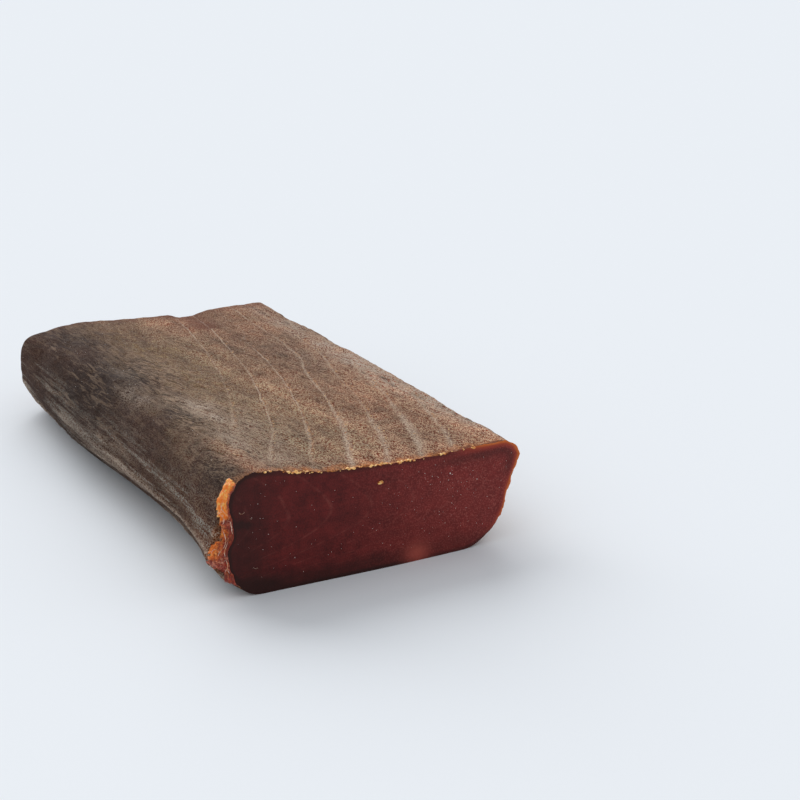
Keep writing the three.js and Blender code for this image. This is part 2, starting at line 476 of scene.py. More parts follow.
line = near_line(layer)
calm = (1 - on_foot) * ease(z / 2.5)
relief = BAND_SWELL * (0.5 - line) * facing_up - LINE_GROOVE * line**24 * facing_up
relief -= CREASE_DEPTH * bell(crease / 0.9)
relief += LUMP * lumps((9, 15, 9), 11) + 0.5 * LUMP * lumps((4, 6, 4), 12)
relief += PEBBLE * lumps((1.7, 2.2, 1.7), 13)
relief += FLANK_FOLD * flank_streaks * facing_left * ease((30 - z) / 12)
relief += 0.3 * flank_streaks * facing_right
shoulder = ease((26 - x) / 16) * facing_up
wrinkles = lumps((2.2, 13, 2.2), 32) + 0.6 * lumps((1.6, 5, 1.6), 33)
relief += SHOULDER_WRINKLE * wrinkles * (shoulder + ease((x - 82) / 8) * facing_up)
torn_lumps = lumps((1.1, 1.2, 2.0), 14) + 0.7 * lumps((0.8, 0.8, 1.1), 15)
torn_lobes = sum(rise * bell((z - height) / reach) for height, reach, rise in TORN_LOBES)
relief = relief * (1 - torn) + (TORN_ROUGH * torn_lumps + torn_lobes) * torn
relief *= calm * ease((y + 1.2) / 3) * (1 - 0.6 * ease((y - 188) / 12))

ragged = 0.22 * lumps((1.6, 9, 1.6), 16) + 0.12 * lumps((0.8, 9, 0.8), 17)
edge_jag = 0.3 * lumps((2.0, 9, 2.0), 29) + 0.22 * lumps((0.9, 9, 0.9), 30)
relief += edge_jag * (on_cut & ~inside_cut) * calm
slice_relief = 0.10 * lumps((9, 9, 1.4), 18) + 0.05 * lumps((3, 3, 1.0), 19)
skin = plain + skin_normal * relief[:, None]
skin[:, 1] += np.where(on_cut, np.where(inside_cut, slice_relief, ragged + 0.15) * ease(z / 2), 0)
skin[:, 2] = np.maximum(skin[:, 2], 0)
print("relief from", round(float(relief.min()), 2), "to", round(float(relief.max()), 2), "mm")

# %% [markdown]
# ## Into Blender
#
# The points go into the mesh in one call each for places and faces. The masks go in as point
# attributes. The edge all round the cut is marked sharp, so that light turns there as at a knife
# edge, and everything else is smooth.


# %% Mesh builders
def stand(name, data):
    """A new object for this data, linked into the scene."""
    thing = bpy.data.objects.new(name, data)
    bpy.context.scene.collection.objects.link(thing)
    return thing


def new_piece(name, points, faces):
    """A mesh object at the origin, from points in mm of the loin's own frame and four-sided faces."""
    mesh = bpy.data.meshes.new(name)
    mesh.vertices.add(len(points))
    mesh.vertices.foreach_set("co", ((points - MIDDLE) * MM).astype(np.float32).ravel())
    mesh.loops.add(len(faces) * 4)
    mesh.loops.foreach_set("vertex_index", faces.astype(np.int32).ravel())
    mesh.polygons.add(len(faces))
    mesh.polygons.foreach_set("loop_start", np.arange(len(faces), dtype=np.int32) * 4)
    mesh.update(calc_edges=True)
    mesh.validate()
    return stand(name, mesh)


def paint(piece, name, values):
    """Stores one number per point under a name that a material can read."""
    attribute = piece.data.attributes.new(name, "FLOAT", "POINT")
    attribute.data.foreach_set("value", np.asarray(values, np.float32))


def sharpen(piece, face_mask):
    """Marks sharp each edge that only one of its faces shares with the masked group."""
    mesh = piece.data
    edge_of_loop = np.zeros(len(mesh.loops), np.int32)
    mesh.loops.foreach_get("edge_index", edge_of_loop)
    per_face = edge_of_loop.reshape(len(mesh.polygons), -1)
    count = np.bincount(per_face[face_mask].ravel(), minlength=len(mesh.edges))
    mesh.edges.foreach_set("use_edge_sharp", count == 1)


loin_skin = new_piece("cured_loin", skin, quads)
loin_skin.data.shade_smooth()
sharpen(loin_skin, side_of == CUT)
print("sharp edges round the cut:", sum(edge.use_edge_sharp for edge in loin_skin.data.edges))

# %% [markdown]
# ## Tones of the skin
#
# The skin is almost black on the left shoulder: partly its own darker tone and partly painted shade,
# where the shoulder and flanks turn from the lamp. It is redder to the right and by the tail, and
# streaked along the fibres. It could be painted by hand. As sums of soft steps and bells it stays
# sharp at any size, and each place can be moved by its number.

# %% Rim distance and tones
width_here = along("right_x", 0) - along("left_x", 0)
from_sides = np.minimum(crowd(across, CROWD_LEFT), 1 - crowd(across, CROWD_LEFT)) * width_here
from_ends = np.minimum(up, 1 - up) * NOMINAL_HEIGHT["cut"]
rim = np.where(on_cut, np.minimum(from_sides, from_ends), y)

warm = ease((x - 30) / 45) * 0.6 + 0.3 * ease((y - 150) / 50)
warm += 0.5 * ease((14 - x) / 12) * ease((60 - y) / 40)
warm += 0.4 * ease((22 - y) / 20)
shoulder_x = -3 + 17 * ease((y - 5) / 120)
ragged_shade = 0.3 * lumps((5, 14, 5), 21) + 0.2 * lumps((2.2, 5, 2.2), 26)
# Painted shade with some of the skin's own darker tone: shoulder brown on the left shoulder and on both
# flanks, which turn from the lamp.
dark_tone_and_painted_shade = 0.9 * ease((shoulder_x + 10 - x) / 21 + ragged_shade)
dark_tone_and_painted_shade *= (1 - 0.75 * np.clip(bloom_and_sheen, 0, 1)) * (1 - 0.3 * facing_left * ease((70 - y) / 60))
dark_tone_and_painted_shade += 0.5 * bell((x + 5) / 4) * bell((y - 11) / 8)
dark_tone_and_painted_shade = np.clip(dark_tone_and_painted_shade + facing_right * (0.45 + 0.5 * flank_streaks), 0, 0.95)
band_tone = rumple(np.stack([np.floor(layer) * 50, y, 0 * y], -1), (7, 90, 7), 23)
darkness = 0.3 + 0.3 * lumps((5, 24, 5), 24) + 0.25 * lumps((2.5, 8, 2.5), 25)
darkness += 0.15 * band_tone + 0.3 * ease((y - 60) / 90) * ease((50 - x) / 30)
ochre = 0.8 * bell((x - 26) / 17) * bell((y - 140) / 50) * facing_up
print("shaded points:", int((dark_tone_and_painted_shade > 0.5).sum()), "warm points:", int((warm > 0.5).sum()))

# %% [markdown]
# ### Strength of the sheets' lines
#
# No two of the pale lines are alike: one is strong by the cut and fades, another comes up by the
# tail. A table gives each its width and its strength at three places, and noise breaks it up.

# %% Strength of the lines
line_names = np.round(layer)
SHEET_STOPS = (0, 40, 70, 130, 165, 207)  # mm back: by the cut, half way and by the tail, from and to
SHEETS = {  # by layer number: strength by the cut, half way and by the tail, and width in layers
    -1: (0.1, 0.4, 1.0, 0.14),
    0: (0.35, 0.75, 1.0, 0.11),
    1: (0.6, 0.7, 0.4, 0.1),
    2: (1.0, 0.6, 0.6, 0.19),
    3: (0.7, 0.4, 0.35, 0.2),
    4: (0.8, 0.45, 0.25, 0.26),
    5: (0.65, 0.4, 0.25, 0.2),
}
line_strength = np.full(len(x), 0.04)
line_width = np.full(len(x), 0.04)
for number, (by_cut, half_way, by_tail, width) in SHEETS.items():
    strength = np.interp(y, SHEET_STOPS, np.repeat((by_cut, half_way, by_tail), 2))
    line_strength = np.where(line_names == number, strength, line_strength)
    line_width = np.where(line_names == number, width * (1 - 0.5 * ease((y - 35) / 30)), line_width)
patchiness = rumple(np.stack([line_names * 50, y, 0 * y], -1), (7, 15, 7), 20) + lumps((3, 5, 3), 37)
line_strength = np.clip(line_strength * (1 + 0.45 * patchiness), 0, 1) * facing_up * ease((x - 6) / 12)
oil = 1.5 * line_strength + 0.3 * bell((x - 48) / 22) * bell((y - 60) / 45) * facing_up
print("strongest line:", round(float(line_strength.max()), 2))

# %% [markdown]
# ### Where grain, wisps, fibres and raw flesh show
#
# The grain is crispest in the bloom, pale wisps lie over the shoulder and the right edge, and fine
# fibres run beside the shoulder. The trimmed tail end, its chip and the right end of the cut's
# upper edge are redder, because the old skin is gone there.

# %% Grain, wisps, fibres and raw flesh
left_low = facing_left * ease((32 - z) / 12)
granular = 0.78 + 0.12 * facing_up**2 * ease((x - shoulder_x) / 20) + 1.1 * ease((50 - y) / 60) * facing_up
granular += 0.8 * bloom_and_sheen * facing_up - 0.35 * facing_right - 0.2 * facing_left * ease((y - 20) / 30)
wispy = 0.06 * facing_left + 0.4 * facing_up * ease((shoulder_x + 24 - x) / 18) + 0.5 * ease((x - 80) / 8)
wispy = np.clip(wispy * (1 + 1.3 * lumps((7, 18, 7), 34)) + 0.5 * bloom_and_sheen, 0, 1)
fibrous = 0.35 + 0.8 * bell((x - 12) / 22) * bell((y - 80) / 75) + 0.5 * lumps((12, 18, 12), 35)
fibrous = np.clip(fibrous, 0, 1) * facing_up * ease((x - shoulder_x + 9) / 8)
raw_tail = ease((y - 197) / 6) * (0.4 + 0.25 * lumps((3, 3, 3), 28))
raw_tail += 0.6 * bell((x - 63) / 6) * ease((y - 172) / 6) * ease((z - 20) / 6) * ~(y < 176)
raw_edge = ease((x - 60) / 14) * ease((2.6 - y + 1.2 * lumps((1.5, 1.5, 1.5), 36)) / 1.8)
raw_tail += 0.8 * raw_edge * facing_up
print("fibrous points:", int((fibrous > 0.5).sum()), "raw points:", int((raw_tail > 0.3).sum()))

# %% [markdown]
# ### Tones of the cut and the tear
#
# The cut is darkest low down and on the left, with a soft red spot at its foot and a painted glow
# along its right side, where light would pass through the thin rim. The tear is amber above, partly
# painted glow with painted highlights, and rusty below.

# %% Tones of the cut and the tear
low_dark = 0.68 * ease((8 - z) / 5) * (1 - 0.5 * ease((x - 20) / 40))
# Darker low down, on the left, along the rim, in two small spots, and in a band inside the upper right rim.
cut_darker = low_dark + 0.6 * ease((14 - x) / 18) + 0.5 * ease((1.6 - rim) / 1.2)
pits = bell(np.hypot(x + 4.8, z - 24.3) / 0.9) + bell(np.hypot(x + 2.2, z - 23.6) / 0.7)
cut_darker = np.clip(cut_darker + 0.12 * lumps((8, 8, 5), 27) + 2 * pits, 0, 0.92)
# Painted glow of light through the thin right rim of the cut: a red band here, an orange edge below.
painted_rim_glow = 0.9 * ease((x - 68) / 14) * ease((2.3 - rim) / 1.7) * ease((z - 2) / 8)
cut_darker += 0.45 * ease((x - 62) / 10) * bell((rim - 3.2) / 1.6) * ease((z - 20) / 8)
cut_darker = cut_darker * (1 - painted_rim_glow)
edge_glow = 0.35 + 0.65 * ease((x - 4) / 14) * facing_up
# Amber, partly the torn flesh's own colour and partly painted glow of light through it, strongest at the top.
amber_and_glow = ease((z - 25) / 2.5) + 0.15 * ease((z - 18) / 3) * ease((26 - z) / 4) + 0.35 * bell((z - 16) / 2.5)
amber_and_glow += 0.3 * bell((y - 3.2) / 0.9) * ease((z - 13) / 3) + 0.2 * lumps((1.5, 1.5, 2.5), 31)
amber_and_glow *= 0.1 + 0.9 * ease((y - 0.4) / 1.5)
# Salmon: a painted highlight near the top, and pinker flecks lower down.
salmon_and_highlight = 0.9 * bell((z - 26.5) / 2.4) * bell((y - 1.9) / 1.2) + 0.5 * bell((z - 12) / 4)
pinker = 0.5 * ease((x - 20) / 60)
soft_red = 0.8 * bell((x - 56.5) / 4.2) * bell((z - 2.5) / 3.6)
# Painted glow: the orange outer edge of the right rim.
painted_rim_glow_edge = 0.9 * ease((x - 74) / 10) * ease((0.9 - rim) / 0.8) * ease((z - 5) / 6)
print("crust points:", int((painted_rim_glow > 0.4).sum()), "amber points:", int((amber_and_glow > 0.5).sum()))

# %% Painting the masks on
painted = dict(
    layer=layer, crease=crease, bloom_and_sheen=bloom_and_sheen, rim=rim, warm=warm, dark_tone_and_painted_shade=dark_tone_and_painted_shade, line=line_strength,
    line_width=line_width, darkness=np.clip(darkness, 0, 1), left_low=left_low, granular=granular,
    wispy=wispy, fibrous=fibrous, oil=np.clip(oil, 0, 1), tone_and_painted_light=tone_and_painted_light, edge_glow=edge_glow,
    ochre=ochre, raw_tail=np.clip(raw_tail, 0, 1), cut_darker=cut_darker, painted_rim_glow=painted_rim_glow,
    amber_and_glow=np.clip(amber_and_glow, 0, 1), salmon_and_highlight=salmon_and_highlight, pinker=pinker, soft_red=soft_red, painted_rim_glow_edge=painted_rim_glow_edge,
)
for name, values in painted.items():
    paint(loin_skin, name, values)
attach(loin_skin, "root")
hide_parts("loin")
print("cured_loin has", len(loin_skin.data.polygons), "quads")

# %% [markdown]
# ## Finishes
#
# Three finishes meet here. The dried skin is muscle that salt has drawn dry: matt, granular and
# grey-brown, because dried fibres and a salt bloom scatter the light. The cut is the same muscle
# inside, dense and almost translucent, so it is dark and saturated. The torn rim is thin shreds
# of it that light passes through, so it turns amber. Each is one Principled shader, whose colour
# and bump come from noise at real sizes and from the masks.

# %% Node helpers
def colour(code):
    """sRGB hex to linear RGBA: divide by 12.92 in the dark part, else the 2.4 power curve."""
    parts = [int(code[i : i + 2], 16) / 255 for i in (1, 3, 5)]
    linear = [c / 12.92 if c <= 0.04045 else ((c + 0.055) / 1.055) ** 2.4 for c in parts]
    return (*linear, 1.0)


def add(tree, kind, inputs, out="", **settings):
    """Adds a node: settings on it, inputs in order or by name, as values or links, one output back."""
    node = tree.nodes.new("ShaderNode" + kind)
    if kind == "Mix":
        node.data_type = "RGBA"  # every mix here is of colours
    for name, value in settings.items():
        setattr(node, name, value)
    sockets = [s for s in node.inputs if not s.is_unavailable]
    for key, value in inputs.items() if isinstance(inputs, dict) else enumerate(inputs):
        socket = sockets[key] if isinstance(key, int) else next(s for s in sockets if s.name == key)
        if isinstance(value, bpy.types.NodeSocket):
            tree.links.new(value, socket)
        else:
            socket.default_value = value
    outputs = [s for s in node.outputs if not s.is_unavailable]
    return next((s for s in outputs if s.name == out), outputs[0])


# In order, MapRange takes a value, the low and high it comes from and the low and high it goes to.
# Mix takes a share, the colour at share 0 and the colour at share 1.


def start_finish(name, constants):
    """A new material: constants on its Principled shader, and places in mm of the loin's own frame."""
    material = bpy.data.materials.new(name)
    material.use_nodes = True
    tree = material.node_tree
    shader = next(n for n in tree.nodes if n.type == "BSDF_PRINCIPLED")
    for socket, value in constants.items():
        shader.inputs[socket].default_value = value
    local = add(tree, "TexCoord", {}, out="Object")
    centre = tuple(float(v) for v in MIDDLE)
    place = add(tree, "Mapping", {"Vector": local, "Location": centre, "Scale": (1 / MM,) * 3})
    return material, partial(add, tree), shader, place


def cover(put, tint, over, pattern, low, high, mask, most=1.0):
    """Lays a colour over a tint, as far as a noise passes from low to high, times a mask."""
    share = put("MapRange", (pattern, low, high, 0.0, most))
    share = put("Math", (share, mask), operation="MULTIPLY")
    return put("Mix", (share, tint, over))


def end_finish(put, shader, tint, rough, bump_height, bump_mm):
    """Joins a colour, a roughness and a height to the shader; the bump's depth is in mm."""
    bump = put("Bump", {"Height": bump_height, "Distance": bump_mm * MM, "Strength": 1.0})
    links = shader.id_data.links
    for name, value in (("Base Color", tint), ("Roughness", rough), ("Normal", bump)):
        links.new(value, shader.inputs[name])

# %% [markdown]
# ### Dried, salted skin
#
# Air-dried tuna muscle. Its grain is the broken ends of fibres and fine salt, and reads as salt and
# pepper from this distance. The index is 1.45, as for dry protein. The roughness is 0.85, with no
# gloss at all, and falls towards 0.35 only on oily flecks. Every pattern is noise with its size set
# in real millimetres, longer along the block, because the fibres run that way.

# %% Skin patterns
FIBRE_TURN = math.radians(20)  # the fibres cross the sheets' lines, leaning left towards the tail
STREAK_MM = (2.4, 55.0, 1.7)
TONE_MM = 11.0
PATTERNS = (  # name, size in mm across, along and up, twist, turn, detail
    ("grain", (0.42, 0.85, 0.42), 0.3, 0.0, 1.0),  # coarser than the assumed 0.3 to 0.6, so it shows
    ("wisp", (1.5, 12.0, 1.5), 0.9, 0.0, 4.0),
    ("fibre", (0.6, 6.5, 0.6), 1.1, FIBRE_TURN, 4.0),
    ("mottle", (3.2, 6.0, 3.2), 0.5, 0.0, 4.0),
)
SKIN_MASKS = (
    "layer", "crease", "bloom_and_sheen", "rim", "warm", "dark_tone_and_painted_shade", "line", "line_width", "darkness",
    "left_low", "granular", "wispy", "fibrous", "oil", "tone_and_painted_light", "raw_tail", "edge_glow", "ochre",
)
DRY_SKIN = {"IOR": 1.45, "Specular IOR Level": 0.15}

skin_finish, put, shader, place = start_finish("air_dried_salted_skin", DRY_SKIN)
patterns = {}
for name, size, twist, turn, detail in PATTERNS:
    turned = {"Vector": place, "Scale": size, "Rotation": (0.0, 0.0, turn)}
    at = put("Mapping", turned, vector_type="TEXTURE")
    look = {"Vector": at, "Scale": 1.0, "Detail": detail, "Roughness": 0.65, "Distortion": twist}
    patterns[name] = put("TexNoise", look)
grain, wisp, fibre, mottle = patterns.values()
longer = put("Mapping", {"Vector": place, "Scale": tuple(1 / mm for mm in STREAK_MM)})
streak = put("TexNoise", {"Vector": longer, "Scale": 1.0, "Detail": 4.0, "Roughness": 0.6})
tone = put("TexNoise", {"Vector": place, "Scale": 1 / TONE_MM, "Detail": 4.0, "Roughness": 0.6})
masks = {name: put("Attribute", {}, out="Fac", attribute_name=name) for name in SKIN_MASKS}
print("skin patterns:", list(patterns), "and", len(masks), "masks")

# %% Skin colours, each laid over the ones before
OLIVE_BROWN = colour("#9f7c5c")
RED_BROWN = colour("#aa7759")
DARK_BROWN = colour("#664632")
# Shoulder brown: the skin's darker tone and painted shade in one colour.
SHOULDER_TONE_AND_SHADE = colour("#4c2d21")
OCHRE = colour("#7e5b32")
FLANK_STREAK = colour("#9f8977")

warmth = put("Math", (masks["warm"], tone), operation="ADD")
warmth = put("MapRange", (warmth, 0.45, 1.15))
tint = put("Mix", (warmth, OLIVE_BROWN, RED_BROWN))
tint = put("Mix", (masks["darkness"], tint, DARK_BROWN))
tint = cover(put, tint, OCHRE, mottle, 0.48, 0.6, masks["ochre"])
# Painted shade, with darker tone, on the shoulder and flanks.
tint = put("Mix", (masks["dark_tone_and_painted_shade"], tint, SHOULDER_TONE_AND_SHADE))
tint = cover(put, tint, FLANK_STREAK, streak, 0.48, 0.62, masks["left_low"])
print("nodes so far:", len(shader.id_data.nodes))

# %% [markdown]
# ### Salt and pepper
#
# Each grain is a little lighter or darker than the skin under it. A fine bump alone would be lost
# in the soft light, so the grain is in the colour too, and wider mottling with it.

# %% Skin grit
DARK_GRAIN = (0.42, 0.12, 0.0, 1.0)  # times the colour. Brown has little blue, so blue has to swing
LIGHT_GRAIN = (1.45, 1.97, 2.3, 1.0)  # most, for grains that look lighter or darker but not pink

gritty = put("MapRange", (grain, 0.43, 0.57, -0.5, 0.5))
gritty = put("Math", (gritty, masks["granular"], 0.5), operation="MULTIPLY_ADD")
gritty = put("Mix", (gritty, DARK_GRAIN, LIGHT_GRAIN))
mottled = put("MapRange", (mottle, 0.3, 0.7, 0.78, 1.32))
# Times the spots of tone and painted light.
mottled = put("Math", (mottled, masks["tone_and_painted_light"]), operation="MULTIPLY")
for factor in (gritty, mottled):
    tint = put("Mix", (1.0, tint, factor), blend_type="MULTIPLY")
print("nodes so far:", len(shader.id_data.nodes))

# %% [markdown]
# ### Wisps, fibres and bloom
#
# Dry fibres lift off in pale wisps with dark wrinkles beside them, whose darkness is painted shade,
# and brine dries to a pale, granular bloom; along the right edge the same pale coat is painted
# sheen. Wisp and wrinkle are the high and the low side of one noise, so they lie together.

# %% Skin wisps, fibres and bloom
WISP = colour("#a88d75")
# Painted shade in the wrinkles and in the gaps between fibres.
WRINKLE_SHADE = colour("#33221a")
# Pale salt bloom, and painted sheen where it lies along the right edge.
BLOOM_AND_SHEEN = colour("#c0ad9c")

broken_fibre = put("Math", (grain, fibre), operation="ADD")
for over, pattern, low, high, mask, most in (
    (WISP, wisp, 0.5, 0.64, "wispy", 0.75),
    (WRINKLE_SHADE, wisp, 0.48, 0.36, "wispy", 0.6),
    (WISP, fibre, 0.5, 0.58, "fibrous", 0.75),
    (WRINKLE_SHADE, fibre, 0.48, 0.4, "fibrous", 0.7),
    (BLOOM_AND_SHEEN, broken_fibre, 0.87, 1.03, "bloom_and_sheen", 1.0),
):
    tint = cover(put, tint, over, pattern, low, high, masks[mask], most)
print("nodes so far:", len(shader.id_data.nodes))

# %% [markdown]
# ### Lines, oil and creases
#
# A sheet's line is where the layer number is near a whole one: folding the number at a half gives
# the distance. Oil has seeped out beside it in ochre flecks. Creases are dark, as little light
# reaches their floor.

# %% Skin lines, oil and creases
SHEET = colour("#c9b29c")
OIL = colour("#b5762c")
CREVICE = colour("#241813")

off_line = put("Math", (masks["layer"], 0.5), operation="PINGPONG")
wander = put("MapRange", (mottle, 0.35, 0.65, 0.5, 1.3))
wander = put("Math", (wander, masks["line_width"]), operation="MULTIPLY")
on_line = put("Math", (off_line, wander), operation="DIVIDE")
on_line = put("MapRange", (on_line, 0.0, 1.0, 1.0, 0.0), interpolation_type="SMOOTHSTEP")
speckled = put("MapRange", (grain, 0.42, 0.55, 0.35))
for share in (speckled, masks["line"]):
    on_line = put("Math", (on_line, share), operation="MULTIPLY")
tint = put("Mix", (on_line, tint, SHEET))

beside = put("Math", (masks["layer"], -0.07), operation="ADD")
beside = put("Math", (beside, 0.5), operation="PINGPONG")
oiled = put("MapRange", (beside, 0.01, 0.06, 1.0, 0.0))
fine_flecks = put("MapRange", (grain, 0.46, 0.56, 0.0, 0.95))
wide_flecks = put("MapRange", (mottle, 0.5, 0.62))
for share in (fine_flecks, wide_flecks, masks["oil"]):
    oiled = put("Math", (oiled, share), operation="MULTIPLY")
tint = put("Mix", (oiled, tint, OIL))

cracked = put("MapRange", (masks["crease"], 0.0, 1.0, 1.0, 0.0))
patchy = put("MapRange", (wisp, 0.38, 0.56, 1.0, 0.2))
cracked = put("Math", (cracked, patchy), operation="MULTIPLY")
tint = put("Mix", (cracked, tint, CREVICE))
print("nodes so far:", len(shader.id_data.nodes))

# %% [markdown]
# ### By the cut
#
# The last few millimetres before the cut are orange-brown, with a border that wanders, because
# flesh shows through. The bump's height is the grain and the fibres, less the creases.

# %% Skin by the cut, and its height
FRESH_EDGE = colour("#c97a3e")
RAW_TAIL = colour("#6a3322")

near_cut = put("MapRange", (mottle, 0.35, 0.65, -2.0, 2.5))
near_cut = put("Math", (masks["rim"], near_cut), operation="SUBTRACT")
near_cut = put("MapRange", (near_cut, -0.5, 5.0, 0.95, 0.0))
patchy = put("MapRange", (grain, 0.4, 0.56, 0.3))
for share in (patchy, masks["edge_glow"]):
    near_cut = put("Math", (near_cut, share), operation="MULTIPLY")
tint = put("Mix", (near_cut, tint, FRESH_EDGE))
tint = put("Mix", (masks["raw_tail"], tint, RAW_TAIL))
height = put("Math", (broken_fibre, cracked), operation="SUBTRACT")
rough = put("MapRange", {"Value": oiled, "To Min": 0.85, "To Max": 0.35})
end_finish(put, shader, tint, rough, height, bump_mm=0.9)
print("skin finish has", len(shader.id_data.nodes), "nodes")

# %% [markdown]
# ### Cut flesh
#
# The inside of the same muscle, still moist with its own oil: dense and smooth from the knife, so
# it is half glossy and very dark. The paler sheets show again, as arcs. A band a millimetre or two
# wide along the right side is painted a clearer red and orange: painted glow of light through the
# thin rim.

# %% Flesh
DEEP_MAROON = colour("#471212")
CLEAR_MAROON = colour("#7c2825")
SHEET_IN_FLESH = colour("#8a4a42")
BLACK_BROWN = colour("#2a1411")
# Painted glow of the cut's right rim, red and orange.
RIM_GLOW_RED = colour("#98392a")
SOFT_RED = colour("#a54c40")
RIM_GLOW_ORANGE = colour("#d8742f")

FLESH_MASKS = ("layer", "cut_darker", "painted_rim_glow", "pinker", "soft_red", "painted_rim_glow_edge")
MOIST_FLESH = {"IOR": 1.45, "Specular IOR Level": 0.2}

flesh_finish, put, shader, place = start_finish("cured_tuna_flesh", MOIST_FLESH)
stretched = put("Mapping", {"Vector": place, "Scale": (0.07, 0.2, 1.1), "Rotation": (0, -0.07, 0)})
streak = put("TexNoise", {"Vector": stretched, "Scale": 1.0, "Detail": 4.0, "Roughness": 0.6})
mottle = put("TexNoise", {"Vector": place, "Scale": 0.22, "Detail": 5.0, "Roughness": 0.6})
speck = put("TexNoise", {"Vector": place, "Scale": 2.2, "Detail": 2.0})
masks = {name: put("Attribute", {}, out="Fac", attribute_name=name) for name in FLESH_MASKS}
depth = put("Math", (streak, 0.3, mottle), operation="MULTIPLY_ADD")
depth = put("Math", (depth, masks["pinker"]), operation="ADD")
depth = put("MapRange", (depth, 0.4, 1.3))
tint = put("Mix", (depth, DEEP_MAROON, CLEAR_MAROON))
off_line = put("Math", (masks["layer"], 0.5), operation="PINGPONG")
arc = put("MapRange", (off_line, 0.0, 0.07, 0.3, 0.0))
tint = cover(put, tint, SHEET_IN_FLESH, mottle, 0.42, 0.62, arc)
tint = cover(put, tint, SHEET_IN_FLESH, speck, 0.52, 0.66, masks["pinker"], 1.3)
grits = put("MapRange", (speck, 0.4, 0.6, 0.86, 1.16))
tint = put("Mix", (1.0, tint, grits), blend_type="MULTIPLY")
for mask, over in (
    ("cut_darker", BLACK_BROWN),
    ("painted_rim_glow", RIM_GLOW_RED),
    ("soft_red", SOFT_RED),
    ("painted_rim_glow_edge", RIM_GLOW_ORANGE),
):
    tint = put("Mix", (masks[mask], tint, over))
rough = put("MapRange", {"Value": speck, "To Min": 0.4, "To Max": 0.6})
height = put("Math", (streak, speck), operation="ADD")
end_finish(put, shader, tint, rough, height, bump_mm=0.15)
print("flesh finish has", len(shader.id_data.nodes), "nodes")

# %% [markdown]
# ### Torn amber flesh
#
# Where the rim tore, the flesh is thin, frayed and amber. Light goes in and comes out again, so
# the shader scatters it under the surface, red furthest, by millimetres. The brightest amber is also
# painted glow, and the honey flecks and a salmon band near the top are painted highlights.

# %% Torn flesh
# Amber with painted glow, and two painted highlights: honey and salmon.
AMBER_AND_GLOW = colour("#ff8820")
HONEY_HIGHLIGHT = colour("#ffcc68")
RUST = colour("#a83722")
DRIED_BLOOD = colour("#742014")
SALMON_AND_HIGHLIGHT = colour("#f2a58c")

THIN_FLESH = {
    "IOR": 1.45,
    "Subsurface Weight": 0.5,
    "Subsurface Radius": (1.0, 0.35, 0.15),
    "Subsurface Scale": 3.0 * MM,
}

torn_finish, put, shader, place = start_finish("torn_amber_flesh", THIN_FLESH)
upright = put("Mapping", {"Vector": place, "Scale": (1.0, 1.0, 0.6)})
shred = put("TexNoise", {"Vector": upright, "Scale": 1.5, "Detail": 4.0, "Roughness": 0.7})
clot = put("TexNoise", {"Vector": place, "Scale": 0.8, "Detail": 4.0, "Roughness": 0.65})
amber_and_glow = put("Attribute", {}, out="Fac", attribute_name="amber_and_glow")
salmon_and_highlight = put("Attribute", {}, out="Fac", attribute_name="salmon_and_highlight")
share = put("Math", (shred, amber_and_glow), operation="ADD")
share = put("MapRange", (share, 0.45, 1.15))
tint = put("Mix", (share, RUST, AMBER_AND_GLOW))
bled = put("Math", (amber_and_glow, -0.35, clot), operation="MULTIPLY_ADD")
bled = put("MapRange", (bled, 0.36, 0.5, 0.0, 0.8))
tint = put("Mix", (bled, tint, DRIED_BLOOD))
# Painted highlights on the tear.
tint = cover(put, tint, HONEY_HIGHLIGHT, shred, 0.5, 0.6, amber_and_glow)
tint = cover(put, tint, SALMON_AND_HIGHLIGHT, shred, 0.5, 0.6, salmon_and_highlight)
rough = put("MapRange", {"Value": clot, "To Min": 0.25, "To Max": 0.6})
end_finish(put, shader, tint, rough, shred, bump_mm=0.8)
print("torn finish has", len(shader.id_data.nodes), "nodes")

# %% [markdown]
# Each quad of the skin gets one of the three: the cut side its own, and of the rest the quads
# whose corners are mostly torn.

# %% Which finish where
SKIN, FLESH, TORN = range(3)
for finish in (skin_finish, flesh_finish, torn_finish):
    loin_skin.data.materials.append(finish)
finish_of = np.where(side_of == CUT, FLESH, np.where(torn[quads].mean(axis=1) > 0.5, TORN, SKIN))
loin_skin.data.polygons.foreach_set("material_index", finish_of.astype(np.int32))
print("quads by finish:", np.bincount(finish_of))

# %% [markdown]
# ## Loose bits: salt, fat and shreds
#
# Salt crystals lie on the skin and the cut, crumbs of yellow fat sit along the edge of the cut,
# and shreds of sinew hang on the tear. They are small, but they catch the light as paint can't.
# Each is a real closed mesh. A crumb is a box of 24 quads blown out part of the way to a ball,
# then turned and shaken by seeded numbers, all crumbs of a kind at once in one array.

# %% Crumbs
nugget_shares, nugget_quads, _ = box_skin((2, 2, 2))


def crumbs(name, centres, sizes, roundness, seed, stretch=(1.0, 1.0, 1.0)):
    """Copies of a box skin, part way to a ball, turned at random, scaled, shaken, stretched, placed."""
    rng = np.random.default_rng(seed)
    cube = nugget_shares * 2 - 1
    ball = cube / np.linalg.norm(cube, axis=1, keepdims=True)
    form = cube * (1 - roundness) + ball * roundness
    count, corners = len(centres), len(form)
    axes, _ = np.linalg.qr(rng.normal(size=(count, 3, 3)))
    axes[:, :, 0] *= np.sign(np.linalg.det(axes))[:, None]
    shape = form * rng.uniform(0.55, 1.0, (count, 1, 3)) * (1 + rng.uniform(-0.16, 0.16, (count, corners, 3)))
    points = np.einsum("nij,nkj->nki", axes, shape) * (np.asarray(sizes) / 2)[:, None, None] * stretch
    points = points + np.asarray(centres)[:, None, :]
    faces = nugget_quads[None] + np.arange(count)[:, None, None] * corners
    piece = new_piece(name, points.reshape(-1, 3), faces.reshape(-1, 4))
    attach(piece, "root")
    print(name, "has", count, "crumbs and", 2 * len(piece.data.polygons), "triangles")
    return piece


